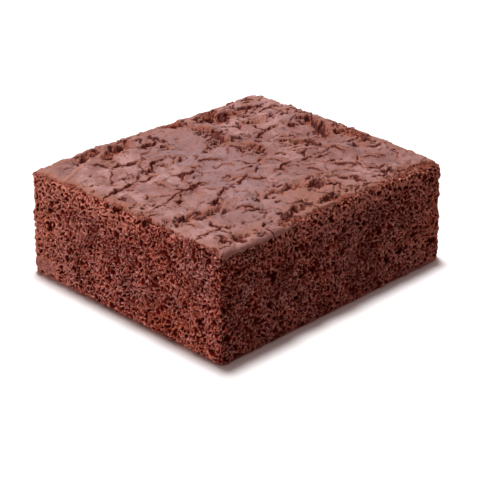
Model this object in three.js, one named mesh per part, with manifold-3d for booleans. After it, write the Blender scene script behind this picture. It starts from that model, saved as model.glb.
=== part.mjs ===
// Chocolate brownie: one square-cut slab of cake under its own thin, crackled crust.
// Millimetres, +Z up. The origin is the centre of the footprint, on the face the slab rests on.
import * as THREE from "three";
import { mergeVertices } from "three/addons/utils/BufferGeometryUtils.js";
import { SimplexNoise } from "three/addons/math/SimplexNoise.js";
import Module from "manifold-3d";

// Overall size of the slab.
const WIDTH = 76.5; // along X
const DEPTH = 68; // along Y
const HEIGHT = 27.3; // to the middle of the crust

// Form of the slab.
const SIDE_LEAN = 0.35; // how far each cut side leans in from foot to crust
const SIDE_WAVE = 0.3; // hand-cut unevenness of the sides
const PLAN_CORNER = 1.9; // radius of the four upright edges
const CRUST_EDGE = 1.5; // radius where the crust turns over the cut
const FOOT_EDGE = 1.2; // radius round the foot
const FOOT_TRIM = 0.6; // sliced off below, so that the slab rests on a flat face
const LIP_DROP = 1.9; // how far the crust reaches down over the cut
const LIP_SCALLOP = 0.45; // unevenness of that drop
const SCALLOP_LENGTH = 5;
const LIP_STEP = 0.6; // height of the step from the crust's lip back to the crumb
const LIP_PROUD = 0.3; // how far the lip stands over the crumb
const EDGE_SAG = 0.45; // drop of the crust from the middle to the rim
const OPEN_CORNER_SAG = 1.1; // extra drop at the -X+Y and +X-Y corners
const CLOSED_CORNER_SAG = 0.5; // extra drop at the other two corners
const CRUST_WAVE = 0.22; // low swells baked into the crust
const WAVE_LENGTH = 11; // length of the swells and of the sides' unevenness

// Relief of the crust.
const FLAKE_COUNT = 36; // plates of crust with one lifted edge
const FLAKE_REACH = [2.6, 5.4]; // half length of a plate
const FLAKE_SLIMNESS = [0.45, 0.75]; // its half width, as a share of that
const FLAKE_CORNERS = 6;
const FLAKE_UNEVEN = 0.2; // share by which its corners wander
const FLAKE_THICK = 0.8;
const FLAKE_LIFT = [0.25, 0.5]; // how proud the lifted edge stands
const CRACK_COUNT = 32;
const CRACK_LENGTH = [5, 13];
const CRACK_WIDTH = [0.5, 1.1];
const CRACK_DEPTH = [0.7, 1.3];
const CRACK_STEPS = 4;
const CRACK_TURN = 0.6; // how much a crack wanders at each step, in radians
const CRACK_TIP = 0.12; // width and depth of its ends, as a share of its middle
const GRAIN_SPREAD = 0.5; // how far plates and cracks stray from the grain, in radians
const CRUST_MARGIN = 4.5; // kept clear along the rim

// Places where the crust has come away and the crumb shows: middle, half sizes and turn in degrees.
const BARE_PATCHES = [
  { x: -15, y: 27, long: 6.5, wide: 2.8, turn: 20 },
  { x: 8.5, y: 21, long: 7.5, wide: 1.7, turn: 98 },
  { x: 11, y: 5, long: 4.6, wide: 1.6, turn: 75 },
  { x: 21, y: 26.5, long: 7.5, wide: 3, turn: 8 },
  { x: 20, y: 16.5, long: 3.4, wide: 1.4, turn: -10 },
  { x: 32.5, y: 1.5, long: 7, wide: 3.2, turn: 80 },
  { x: 22, y: -2, long: 4, wide: 1.3, turn: 82 },
  { x: -3, y: -20, long: 6, wide: 2.4, turn: -14 },
  { x: -28, y: -15, long: 5.5, wide: 1.6, turn: -8 },
  { x: -29.5, y: -29.5, long: 3.4, wide: 1.2, turn: 0 },
];
const PATCH_DEPTH = 1.1;
const PATCH_UNEVEN = 0.45; // share of its size by which a patch's outline wanders

// Bites out of the rim, where the crust broke as the slab was cut.
const RIM_CHIPS = 22;
const CHIP_REACH = [1.3, 3.1]; // half length along the rim
const CHIP_DEPTH = [0.9, 1.7];

// Holes that the cut opened in the crumb.
const LARGE_PORES = 34;
const LARGE_PORE = [1.1, 1.8]; // radius
const SMALL_PORES = 108;
const SMALL_PORE = [0.6, 1.15];
const PORE_TALL = [0.8, 1.3]; // height of a pore, as a share of its width
const PORE_MARGIN = 1.6; // kept clear above the foot, so that the slab stands on a flat face
const PORE_STRAY = 0.08; // how far pores stray from an even spread
const TOP_PORES = 14; // in the bare patches
const LUMP_UNEVEN = 0.22; // share by which pores and chips are out of round
const LUMP_GRAIN = 1.7; // how many bulges that makes

const GRID = { x: 18, y: 16, z: 6 }; // divisions of the slab's surface
const COLOURS = { crumb: 0x6b3022 };

// Random draws that come out the same every time.
function seeded(seed) {
  let state = seed;
  const random = () => {
    state = (state + 0x6d2b79f5) | 0;
    let t = Math.imul(state ^ (state >>> 15), 1 | state);
    t = (t + Math.imul(t ^ (t >>> 7), 61 | t)) ^ t;
    return ((t ^ (t >>> 14)) >>> 0) / 4294967296;
  };
  return {
    random,
    between: ([low, high]) => low + (high - low) * random(),
    spread: (reach) => (2 * random() - 1) * reach,
  };
}
const draw = seeded(20);
const noise = new SimplexNoise(draw);

// Steps that fill a line, and a square, evenly without repeating.
const LINE_STEP = (Math.sqrt(5) - 1) / 2;
const SQUARE_STEPS = [0.7548776662, 0.569840291];

const wasm = await Module();
wasm.setup();

// A three.js geometry as a solid that can be joined and cut.
function solidOf(geometry) {
  const bare = geometry.clone();
  bare.deleteAttribute("normal");
  bare.deleteAttribute("uv");
  const merged = mergeVertices(bare, 1e-4);
  return new wasm.Manifold(
    new wasm.Mesh({
      numProp: 3,
      vertProperties: new Float32Array(merged.attributes.position.array),
      triVerts: new Uint32Array(merged.index.array),
    }),
  );
}

// A solid as a three.js geometry.
function geometryOf(solid) {
  const mesh = solid.getMesh();
  const points = new Float32Array(mesh.numVert * 3);
  for (let i = 0; i < mesh.numVert; i++) {
    points.set(mesh.vertProperties.subarray(i * mesh.numProp, i * mesh.numProp + 3), i * 3);
  }
  const geometry = new THREE.BufferGeometry();
  geometry.setAttribute("position", new THREE.BufferAttribute(points, 3));
  geometry.setIndex(new THREE.BufferAttribute(new Uint32Array(mesh.triVerts), 1));
  geometry.computeVertexNormals();
  return geometry;
}

// Height of the crust above the foot, before plates and cracks.
function crustHeight(x, y) {
  const u = x / (WIDTH / 2);
  const v = y / (DEPTH / 2);
  const rim = Math.max(Math.abs(u), Math.abs(v)) ** 4;
  const corner = Math.abs(u * v) ** 3 * (u * v < 0 ? OPEN_CORNER_SAG : CLOSED_CORNER_SAG);
  const swell = CRUST_WAVE * noise.noise(x / WAVE_LENGTH, y / WAVE_LENGTH);
  return HEIGHT - EDGE_SAG * rim - corner + swell;
}

// How far the side stands out from its plan outline at a place on it, below the crust's lip.
function crumbOffset(x, y, z) {
  const wave = SIDE_WAVE * noise.noise3d(x / WAVE_LENGTH, y / WAVE_LENGTH, z / WAVE_LENGTH);
  return wave - LIP_PROUD + SIDE_LEAN * (0.5 - z / HEIGHT);
}

// Height of a ring of the side: the lip takes the two rings under the crust, the crumb the rest.
function ringHeight(ring, top, x, y) {
  const scallop = LIP_SCALLOP * noise.noise(x / SCALLOP_LENGTH, y / SCALLOP_LENGTH);
  const lip = top - LIP_DROP - scallop;
  if (ring === GRID.z) return top;
  if (ring === GRID.z - 1) return lip;
  return -FOOT_TRIM + (lip - LIP_STEP + FOOT_TRIM) * (ring / (GRID.z - 2));
}

// A place inside the plan, with the corners of its outline rounded off; share is 1 on the outline.
function planPlace(x, y, share) {
  const reach = new THREE.Vector2(WIDTH / 2 - PLAN_CORNER, DEPTH / 2 - PLAN_CORNER);
  const outline = new THREE.Vector2(x, y).divideScalar(Math.max(share, 1e-6));
  const inner = outline.clone().clamp(reach.clone().negate(), reach);
  const outward = outline.sub(inner).normalize();
  return { outward, outline: inner.addScaledVector(outward, PLAN_CORNER) };
}

// The plain slab: a box with rounded edges, uneven sides and a lip of crust.
function slab() {
  const box = new THREE.BoxGeometry(WIDTH, DEPTH, HEIGHT, GRID.x, GRID.y, GRID.z);
  const position = box.attributes.position;
  const halfDepth = DEPTH / 2;
  for (let i = 0; i < position.count; i++) {
    const x = position.getX(i);
    const y = position.getY(i);
    const ring = Math.round((position.getZ(i) / HEIGHT + 0.5) * GRID.z);
    const share = Math.max(Math.abs(x) / (WIDTH / 2), Math.abs(y) / halfDepth);
    const { outward, outline } = planPlace(x, y, share);
    const top = crustHeight(outline.x * share, outline.y * share);
    let z = ringHeight(ring, top, outline.x, outline.y);

    // Near the crust's edge and the foot the place is pulled in onto an arc.
    const isCrust = ring === GRID.z;
    const radius = isCrust ? CRUST_EDGE : FOOT_EDGE;
    const centre = isCrust ? top - radius : radius - FOOT_TRIM;
    let inset = (1 - share) * halfDepth;
    if (inset < radius && (isCrust || z < centre)) {
      const pull = radius / Math.hypot(radius - inset, z - centre);
      inset = radius - (radius - inset) * pull;
      z = centre + (z - centre) * pull;
    }
    const place = outline.multiplyScalar(1 - inset / halfDepth);
    const isCrumb = share === 1 && ring < GRID.z - 1;
    if (isCrumb) place.addScaledVector(outward, crumbOffset(place.x, place.y, z));
    else place.addScaledVector(outward, (-share * SIDE_LEAN) / 2);
    position.setXYZ(i, place.x, place.y, z);
  }
  return solidOf(box);
}

// What is sliced off under the slab.
function underFoot() {
  const block = new THREE.BoxGeometry(WIDTH * 1.2, DEPTH * 1.2, 4 * FOOT_TRIM);
  block.translate(0, 0, -2 * FOOT_TRIM);
  return solidOf(block);
}

// The crackle turns with the slab: along X near the -X side, along Y near the +X side.
function grainAngle(x) {
  return THREE.MathUtils.degToRad(45 + (45 * x) / (WIDTH / 2));
}

// One of many evenly spread places on the crust, at least CRUST_MARGIN in from the rim.
function crustPlace(index) {
  const [u, v] = SQUARE_STEPS.map((step) => ((index + 1) * step) % 1);
  const x = (2 * u - 1) * (WIDTH / 2 - CRUST_MARGIN);
  const y = (2 * v - 1) * (DEPTH / 2 - CRUST_MARGIN);
  return { x, y, z: crustHeight(x, y) };
}

// A plate of crust with six uneven corners, tipped so that one long edge stands proud.
function flake(index) {
  const { x, y, z } = crustPlace(index);
  const reach = draw.between(FLAKE_REACH);
  const width = reach * draw.between(FLAKE_SLIMNESS);
  const lift = draw.between(FLAKE_LIFT);
  const outline = new THREE.Shape();
  for (let i = 0; i < FLAKE_CORNERS; i++) {
    const angle = (i / FLAKE_CORNERS) * 2 * Math.PI + draw.spread(FLAKE_UNEVEN);
    const size = 1 + draw.spread(FLAKE_UNEVEN);
    const px = reach * size * Math.cos(angle);
    const py = width * size * Math.sin(angle);
    if (i === 0) outline.moveTo(px, py);
    else outline.lineTo(px, py);
  }
  outline.closePath();
  const plate = new THREE.ExtrudeGeometry(outline, { depth: FLAKE_THICK, bevelEnabled: false });
  const tip = Math.atan2(lift, width) * (draw.random() < 0.5 ? 1 : -1);
  plate.translate(0, 0, lift / 4 - FLAKE_THICK);
  plate.rotateX(tip);
  plate.rotateZ(grainAngle(x) + draw.spread(GRAIN_SPREAD));
  plate.translate(x, y, z);
  return solidOf(plate);
}

// A wedge that follows a wandering line: widest and deepest half way, slight at both ends.
function wedge(points, width, depth) {
  const above = 2; // how far the wedge stands over the crust, so that it cuts right through
  const vertices = [];
  const faces = [];
  const last = points.length - 1;
  points.forEach((point, i) => {
    const share = Math.max(Math.sin((Math.PI * i) / last), CRACK_TIP);
    const before = points[Math.max(i - 1, 0)];
    const after = points[Math.min(i + 1, last)];
    const along = Math.atan2(after.y - before.y, after.x - before.x);
    const spread = (width / 2) * share * (1 + above / depth); // the flanks go on rising
    const nx = -Math.sin(along);
    const ny = Math.cos(along);
    const z = crustHeight(point.x, point.y);
    vertices.push(point.x + nx * spread, point.y + ny * spread, z + above);
    vertices.push(point.x - nx * spread, point.y - ny * spread, z + above);
    vertices.push(point.x, point.y, z - depth * share);
  });
  const quad = (a, b, c, d) => faces.push(a, b, c, a, c, d);
  for (let i = 0; i < last; i++) {
    const [l, r, b] = [3 * i, 3 * i + 1, 3 * i + 2];
    quad(l, r, r + 3, l + 3);
    quad(r, b, b + 3, r + 3);
    quad(b, l, l + 3, b + 3);
  }
  faces.push(0, 2, 1, 3 * last, 3 * last + 1, 3 * last + 2);
  const geometry = new THREE.BufferGeometry();
  geometry.setAttribute("position", new THREE.Float32BufferAttribute(vertices, 3));
  geometry.setIndex(faces);
  return solidOf(geometry);
}

// A crack that follows the grain of the crackle.
function crack(index) {
  const length = draw.between(CRACK_LENGTH);
  const points = [];
  let { x, y } = crustPlace(index + FLAKE_COUNT);
  let heading = grainAngle(x) + draw.spread(GRAIN_SPREAD);
  for (let i = 0; i <= CRACK_STEPS; i++) {
    points.push({ x, y });
    heading += draw.spread(CRACK_TURN);
    x += (length / CRACK_STEPS) * Math.cos(heading);
    y += (length / CRACK_STEPS) * Math.sin(heading);
  }
  return wedge(points, draw.between(CRACK_WIDTH), draw.between(CRACK_DEPTH));
}

// An uneven ball, for what breaks or bakes out of the cake.
function lump(ball, rx, ry, rz, uneven) {
  const seed = draw.random() * 100;
  const position = ball.attributes.position;
  const point = new THREE.Vector3();
  for (let i = 0; i < position.count; i++) {
    point.fromBufferAttribute(position, i);
    const { x, y, z } = point.clone().multiplyScalar(LUMP_GRAIN);
    point.multiplyScalar(1 + uneven * noise.noise3d(x + seed, y, z));
    position.setXYZ(i, point.x, point.y, point.z);
  }
  ball.rotateX(draw.random() * Math.PI);
  ball.rotateY(draw.random() * Math.PI);
  ball.scale(rx, ry, rz);
  return ball;
}

function barePatch(index) {
  const { x, y, long, wide, turn } = BARE_PATCHES[index];
  const hollow = lump(new THREE.IcosahedronGeometry(1, 1), long, wide, PATCH_DEPTH, PATCH_UNEVEN);
  hollow.rotateZ(THREE.MathUtils.degToRad(turn));
  hollow.translate(x, y, crustHeight(x, y));
  return solidOf(hollow);
}

// A round hole of few sides.
function pit(ball, sizes) {
  const radius = draw.between(sizes);
  return { radius, hole: lump(ball, radius, radius, radius * draw.between(PORE_TALL), LUMP_UNEVEN) };
}

// A small hole in the floor of a bare patch.
function patchPore(index) {
  const patch = BARE_PATCHES[index % BARE_PATCHES.length];
  const along = draw.spread(patch.long - patch.wide);
  const turn = THREE.MathUtils.degToRad(patch.turn);
  const x = patch.x + along * Math.cos(turn) + draw.spread(patch.wide / 2);
  const y = patch.y + along * Math.sin(turn) + draw.spread(patch.wide / 2);
  const { hole } = pit(new THREE.OctahedronGeometry(1), SMALL_PORE);
  hole.translate(x, y, crustHeight(x, y) - PATCH_DEPTH);
  return solidOf(hole);
}

// A place on the four cut sides, a share of the way round, clear of the upright edges.
function sidePlace(around, z) {
  const length = WIDTH - 3 * PLAN_CORNER;
  const breadth = DEPTH - 3 * PLAN_CORNER;
  const inward = LIP_PROUD - SIDE_LEAN * (0.5 - z / HEIGHT);
  const run = around * 2 * (length + breadth);
  const side = run < length + breadth ? -1 : 1;
  const along = run % (length + breadth);
  return along < length
    ? { x: along - length / 2, y: side * (DEPTH / 2 - inward), facesX: false }
    : { x: side * (WIDTH / 2 - inward), y: along - length - breadth / 2, facesX: true };
}

// One of count holes in the cut sides, clear of the foot and of the crust's lip.
function pore(ball, sizes, index, count) {
  const { radius, hole } = pit(ball, sizes);
  const low = PORE_MARGIN + radius;
  const high = HEIGHT - LIP_DROP - LIP_STEP - radius;
  const up = (index * LINE_STEP + draw.spread(PORE_STRAY)) % 1;
  const z = low + (high - low) * Math.abs(up);
  const { x, y } = sidePlace((index + draw.random()) / count, z);
  hole.translate(x, y, z);
  return solidOf(hole);
}

// A bite out of the rim, long and low, that leaves a ragged edge of crust.
function rimChip(index) {
  const reach = draw.between(CHIP_REACH);
  const depth = draw.between(CHIP_DEPTH);
  const { x, y, facesX } = sidePlace((index * LINE_STEP) % 1, HEIGHT);
  const ball = new THREE.IcosahedronGeometry(1);
  const chip = lump(ball, facesX ? depth : reach, facesX ? reach : depth, depth, LUMP_UNEVEN);
  chip.translate(x, y, crustHeight(x, y) - depth);
  return solidOf(chip);
}

function many(count, make) {
  return wasm.Manifold.union(Array.from({ length: count }, (_, index) => make(index, count)));
}

function brownie() {
  const raised = wasm.Manifold.union([slab(), many(FLAKE_COUNT, flake)]);
  const removed = [
    underFoot(),
    many(CRACK_COUNT, crack),
    many(BARE_PATCHES.length, barePatch),
    many(TOP_PORES, patchPore),
    many(RIM_CHIPS, rimChip),
    many(LARGE_PORES, (...order) => pore(new THREE.IcosahedronGeometry(1), LARGE_PORE, ...order)),
    many(SMALL_PORES, (...order) => pore(new THREE.OctahedronGeometry(1), SMALL_PORE, ...order)),
  ];
  const cut = raised.subtract(wasm.Manifold.union(removed));

  // What the cuts left loose is dropped, and the slab is set on its origin.
  const pieces = cut.decompose().sort((a, b) => b.volume() - a.volume());
  const { min, max } = pieces[0].boundingBox();
  return pieces[0].translate([-(min[0] + max[0]) / 2, -(min[1] + max[1]) / 2, -min[2]]);
}

const part = new THREE.Group();
const body = new THREE.Mesh(
  geometryOf(brownie()),
  new THREE.MeshStandardMaterial({ color: COLOURS.crumb, roughness: 0.85, metalness: 0 }),
);
body.name = "brownie";
part.add(body);

export default part;
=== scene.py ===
"""The looks of a chocolate brownie: a pored crumb, and the thin crackled crust that lies over it.

Lengths are in millimetres unless they end in _M. The slab stands on z = 0 with its crust up, and its
four cut sides are called by the way they face: FRONT is -Y, RIGHT is +X, BACK is +Y and LEFT is -X.
"""

import bpy
import numpy as np
from mathutils import Matrix, Vector


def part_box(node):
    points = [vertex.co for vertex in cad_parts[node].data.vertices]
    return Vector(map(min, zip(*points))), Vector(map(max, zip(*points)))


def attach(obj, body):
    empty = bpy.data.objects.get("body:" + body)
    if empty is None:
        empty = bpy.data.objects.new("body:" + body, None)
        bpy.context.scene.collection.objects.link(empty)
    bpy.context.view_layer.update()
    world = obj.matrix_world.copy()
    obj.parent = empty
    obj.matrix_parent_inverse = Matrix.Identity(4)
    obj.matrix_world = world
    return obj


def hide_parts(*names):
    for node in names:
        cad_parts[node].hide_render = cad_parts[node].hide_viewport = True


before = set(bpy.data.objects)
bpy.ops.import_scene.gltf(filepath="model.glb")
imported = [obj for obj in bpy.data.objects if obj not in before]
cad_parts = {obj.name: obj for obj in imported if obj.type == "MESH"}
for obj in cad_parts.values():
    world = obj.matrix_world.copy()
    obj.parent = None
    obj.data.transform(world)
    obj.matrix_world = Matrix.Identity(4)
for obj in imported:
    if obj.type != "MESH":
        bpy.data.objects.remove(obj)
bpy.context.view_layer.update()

MM = 0.001
NODE = "brownie"

# -------- driving dimensions

box_low, box_high = (np.array(corner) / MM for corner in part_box(NODE))
SKIN_ROOM = 0.35  # kept inside the solid's box for bumps that stand out
WIDTH = box_high[0] - box_low[0] - 2 * SKIN_ROOM
DEPTH = box_high[1] - box_low[1] - 2 * SKIN_ROOM
PLATE_ROOM = 0.7  # the same for lifted plates of crust
CRUST_TOP = box_high[2] - PLATE_ROOM

# Radii of the upright edges, by the signs of x and y.
CORNER_RADIUS = {(-1, -1): 1.7, (-1, 1): 2.8, (1, -1): 2.8, (1, 1): 5.2}
BACK_SKEW = 1.2  # how far the BACK side turns in towards RIGHT
SKEW_U, SKEW_V = (-0.4, 1.0), (0.3, 1.0)  # shares of the half width and half depth where that sets in
SIDE_LEAN = 0.35  # how far the sides lean in from foot to crust
FOOT_EDGE = 1.0  # radius round the foot

CRUST_EDGE = 1.2  # radius where the crust turns over the cut
CRUST_THICK = 0.4
# Broad humps and hollows of the crust: middle, spread along x and y, height.
HUMPS = [(38, 15, 8, 22, 0.85), (-18, 36, 8, 8, 0.2)]
EDGE_SAG = 0.1  # drop of the crust from the middle to the rim
CORNER_SAG = {(-1, -1): 0.1, (-1, 1): 0.8, (1, -1): 1.6, (1, 1): -0.1}  # a further drop at each corner

SIDE_CELL = 0.225  # mesh spacing on the sides
CRUST_CELL = 0.262  # mesh spacing on the crust


# -------- random fields and small helpers


def smooth_step(low, high, value):
    """0 below low, 1 above high and an even S between; low may be above high."""
    share = np.clip((value - low) / (high - low), 0, 1)
    return share * share * (3 - 2 * share)


def between(low, high, share):
    return low + (high - low) * share


def swells(shape, length, seed):
    """A smooth random field of spread 1, whose humps are about length grid steps across."""
    white = np.random.default_rng(seed).standard_normal(shape)
    rows = np.fft.fftfreq(shape[0])[:, None] * length
    columns = np.fft.rfftfreq(shape[1])[None, :] * length
    pitch = np.hypot(rows, columns)
    field = np.fft.irfft2(np.fft.rfft2(white) * pitch * np.exp(-(pitch**2)), shape)
    return field / field.std()


def ripples(shape, cell, terms):
    """A sum of swells on a grid of that spacing; terms give the spread, length and seed of each."""
    return sum(spread * swells(shape, length / cell, seed) for spread, length, seed in terms)


def bent(x, y, cell, terms):
    """A grid's x and y, moved by ripples whose terms end in a seed for each of the two."""
    terms_x = [(spread, length, seed) for spread, length, seed, _ in terms]
    terms_y = [(spread, length, seed) for spread, length, _, seed in terms]
    return x + ripples(x.shape, cell, terms_x), y + ripples(y.shape, cell, terms_y)


def patchy(shape, cell, length, seed, low, high):
    """Random patches: 0 where swells are below low and 1 where they are above high."""
    return smooth_step(low, high, swells(shape, length / cell, seed))


def by_corner(values, x, y):
    """Picks, for each point, the value of the corner that it is nearest to."""
    left = np.where(y < 0, values[(-1, -1)], values[(-1, 1)])
    right = np.where(y < 0, values[(1, -1)], values[(1, 1)])
    return np.where(x < 0, left, right)


# -------- the slab's plan and crust height


def plan_point(u, v, inset):
    """A point of the outline drawn in by inset, for (u, v) on a square's rim, and the way outwards."""
    half_width = np.maximum(WIDTH / 2 - inset, 0)
    half_depth = np.maximum(DEPTH / 2 - inset, 0)
    skewed = smooth_step(*SKEW_U, u) * smooth_step(*SKEW_V, v) * np.clip(1 - 2 * inset / DEPTH, 0, 1)
    half_depth = half_depth - BACK_SKEW * skewed
    radius = np.clip(by_corner(CORNER_RADIUS, u, v) - inset, 0, None)
    x = u * half_width
    y = v * half_depth
    inner_x = np.clip(x, radius - half_width, half_width - radius)
    inner_y = np.clip(y, radius - half_depth, half_depth - radius)
    reach = np.maximum(np.hypot(x - inner_x, y - inner_y), 1e-9)
    out_x = (x - inner_x) / reach
    out_y = (y - inner_y) / reach
    return inner_x + out_x * radius, inner_y + out_y * radius, out_x, out_y


def around(u, v):
    """Distance round the square-cornered outline from the FRONT LEFT corner, FRONT first."""
    front = (u + 1) / 2 * WIDTH
    right = WIDTH + (v + 1) / 2 * DEPTH
    back = WIDTH + DEPTH + (1 - u) / 2 * WIDTH
    left = 2 * WIDTH + DEPTH + (1 - v) / 2 * DEPTH
    on_front_or_back = np.where(v < 0, front, back)
    on_right_or_left = np.where(u > 0, right, left)
    return np.where(np.abs(v) >= np.abs(u), on_front_or_back, on_right_or_left)


ROUND = 2 * (WIDTH + DEPTH)  # the whole way round


def crust_height(x, y):
    """Height of the crust before its plates, cracks and bare patches."""
    u = x / (WIDTH / 2)
    v = y / (DEPTH / 2)
    rim = np.maximum(np.abs(u), np.abs(v)) ** 4
    height = CRUST_TOP - EDGE_SAG * rim - np.abs(u * v) ** 3 * by_corner(CORNER_SAG, u, v)
    for middle_x, middle_y, long, wide, rise in HUMPS:
        height = height + rise * np.exp(-(((x - middle_x) / long) ** 2) - ((y - middle_y) / wide) ** 2)
    return height


# -------- the rim, where distance is always the way round the outline, as around gives it

# Bites out of the rim on each side: middle along x or y, half length, how far the crust stops short.
RIM_BITES = {
    "FRONT": [
        (33.5, 5.0, 2.8), (21.5, 2.0, 1.0), (10.0, 2.0, 0.6), (3.0, 2.4, 1.1),
        (-7.0, 1.8, 0.7), (-14.5, 1.6, 1.0),
    ],
    "LEFT": [
        (29.0, 3.0, 1.0), (19.5, 2.4, 1.7), (9.5, 1.6, 0.7), (0.8, 2.2, 1.5),
        (-7.5, 3.6, 1.6), (-17.0, 3.0, 0.5), (-26.0, 2.0, 0.45),
    ],
    "RIGHT": [(-12.0, 2.4, 0.7), (9.0, 3.0, 0.9), (24.0, 2.0, 0.7)],
    "BACK": [(-22.0, 3.0, 0.8), (-3.0, 2.0, 0.8), (14.0, 3.0, 0.9)],
}
BITE_RIPPLES = [(1.1, 2.4, 11)]  # how a bite's two ends wander
BITE_END = (1.15, 0.55)  # a bite sets in and is full at these shares of its half length
RIM_STOP = 0.3  # how far the crust stops short elsewhere
RIM_RIPPLES = [(0.3, 5.0, 13)]
LEAST_STOP = 0.35
ROLLED_AT = ("FRONT", -27.0)  # the middle of where the crust is whole and rolls down over the cut
ROLLED_END = (13.0, 10.0)  # how far from there it is broken off, and still whole
ROLLED_STOP = -0.6  # stands for no stop there
LIP_LENGTH = 0.2  # how far it then reaches down below its rounded edge
LIP_LEAST = 0.1
LIP_RIPPLES = [(0.18, 5.0, 14), (0.04, 1.6, 15)]
BROKEN_DROP = 0.5  # share of the rounded edge that is left where it is broken off instead
DRAWN_IN = 1.0  # how far the mesh draws in there, behind the crumb
DRAWN_REACH = 6.0  # and over what distance in from the rim
# The rim's tan is partly painted light: least at TAN_LEAST_AT and rising away from there.
TAN_LEAST = 0.1  # how tan the upper edge is where it is least so
TAN_LEAST_AT = [("LEFT", -27.0), ("RIGHT", 25.0)]  # and where that is
TAN_REACH = (17.0, 27.0)  # how far round the rim from there it begins to be more tan, and is fully so
RIM_STEPS = 1024
RIM_ROUNDS = np.arange(RIM_STEPS) / RIM_STEPS * ROUND  # where the rim is worked out


def side_distance(side, along):
    """The distance round the outline of a place on a side, given as its x or y."""
    if side in ("FRONT", "BACK"):
        u, v = along / (WIDTH / 2), -1.0 if side == "FRONT" else 1.0
    else:
        u, v = -1.0 if side == "LEFT" else 1.0, along / (DEPTH / 2)
    return float(around(np.array(u), np.array(v)))


def round_from(side, along, distance):
    """How far round from a place on a side it is, going the shorter way."""
    return (distance - side_distance(side, along) + ROUND / 2) % ROUND - ROUND / 2


def rim_ripples(terms):
    """Ripples at RIM_ROUNDS, closed into a loop."""
    return ripples((RIM_STEPS, 2), ROUND / RIM_STEPS, terms)[:, 0]


def rolled_share(distance):
    """1 where the crust rolls down over the cut and 0 where it is broken off."""
    return smooth_step(*ROLLED_END, np.abs(round_from(*ROLLED_AT, distance)))


def tan_and_light_share(distance):
    """How tan the slab is at its upper edge, partly painted light."""
    share = np.ones_like(distance)
    for place in TAN_LEAST_AT:
        share = np.minimum(share, smooth_step(*TAN_REACH, np.abs(round_from(*place, distance))))
    return between(TAN_LEAST, 1, share)


def crust_stop(distance):
    """How far the crust stops short of the cut; below 0 it is whole."""
    ragged = RIM_ROUNDS + rim_ripples(BITE_RIPPLES)
    stop = RIM_STOP + rim_ripples(RIM_RIPPLES)
    for side, bites in RIM_BITES.items():
        for along, half_length, deepest in bites:
            away = np.abs(round_from(side, along, ragged)) / half_length
            stop = np.maximum(stop, deepest * smooth_step(*BITE_END, away))
    stop = between(np.maximum(stop, LEAST_STOP), ROLLED_STOP, rolled_share(RIM_ROUNDS))
    return np.interp(distance, RIM_ROUNDS, stop, period=ROUND)


def lip_length(distance):
    """How far the crust reaches down over the cut."""
    length = np.maximum(LIP_LENGTH + rim_ripples(LIP_RIPPLES), LIP_LEAST)
    return np.interp(distance, RIM_ROUNDS, length, period=ROUND)


# -------- crackle

PLATE_SIZE = 9.5
PLATE_STRAY = [(1.1, 7.0, 21, 23), (0.15, 1.8, 22, 24)]  # how the joints between plates wander
PLATE_STEP = 0.2  # spread of the plates' heights
PLATE_TILT = 0.06  # and of their slopes
CHIP_SIZE = 4.2  # a finer crackle inside some plates
CHIP_STRAY = 0.6  # how much its joints wander, as a share of the others
CHIP_STEP = 0.06
CHIP_TILT = 0.05
CHIP_TONE = 0.3  # share of the chips in the changes of tone
# Random patches where there are chips, and where joints between plates and between chips gape.
CHIPPED = (9.0, 25, -0.2, 0.9)
JOINTS_OPEN = (6.0, 26, 0.0, 1.2)
CHIPS_OPEN = (5.0, 27, 0.5, 1.5)
JOINT_WIDTH = (0.2, 0.32)  # from a joint that is shut to one that gapes
JOINT_FLOOR = 0.05
# How far from a gaping joint it curls up, takes painted highlight or is browned, and is fully so.
JOINT_CURLED = (1.3, 0.2)
JOINT_HIGHLIGHT = (0.8, 0.35)
JOINT_BROWN = (1.5, 0.3)
CHIP_JOINT = 0.24
CHIP_JOINT_DEPTH = 0.5  # as a share of a crack's
UNDULATION = [(0.22, 9.0, 35), (0.06, 3.5, 36)]
GRAIN = [(0.02, 0.9, 37)]
TABLE = 64  # the plates' random draws repeat after this many


def plates(x, y, size, seed):
    """A crackle of plates: distance to the plate's edge, place in the plate, and its number."""
    stray = np.random.default_rng(seed).random((TABLE, TABLE, 2))
    column = np.floor(x / size).astype(int)
    row = np.floor(y / size).astype(int)

    cells = [(column + i, row + j) for i in range(-2, 3) for j in range(-2, 3)]
    middles = []
    for i, j in cells:
        draw = stray[i % TABLE, j % TABLE]
        middles.append(((i + draw[..., 0]) * size - x, (j + draw[..., 1]) * size - y))
    nearest = np.argmin([np.hypot(dx, dy) for dx, dy in middles], axis=0)
    near_x = np.choose(nearest, [dx for dx, _ in middles])
    near_y = np.choose(nearest, [dy for _, dy in middles])
    number = np.choose(nearest, [i % TABLE * TABLE + j % TABLE for i, j in cells])
    edge = np.full_like(x, np.inf)
    for dx, dy in middles:
        apart = np.hypot(dx - near_x, dy - near_y)
        to_joint = (dx**2 - near_x**2 + dy**2 - near_y**2) / (2 * np.maximum(apart, 1e-6))
        edge = np.where(apart > 1e-6, np.minimum(edge, to_joint), edge)
    return edge, -near_x, -near_y, number


def plate_draws(number, seed, count):
    """That many random numbers from -1 to 1 for each plate."""
    return 2 * np.random.default_rng(seed).random((count, TABLE * TABLE))[:, number] - 1


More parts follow.
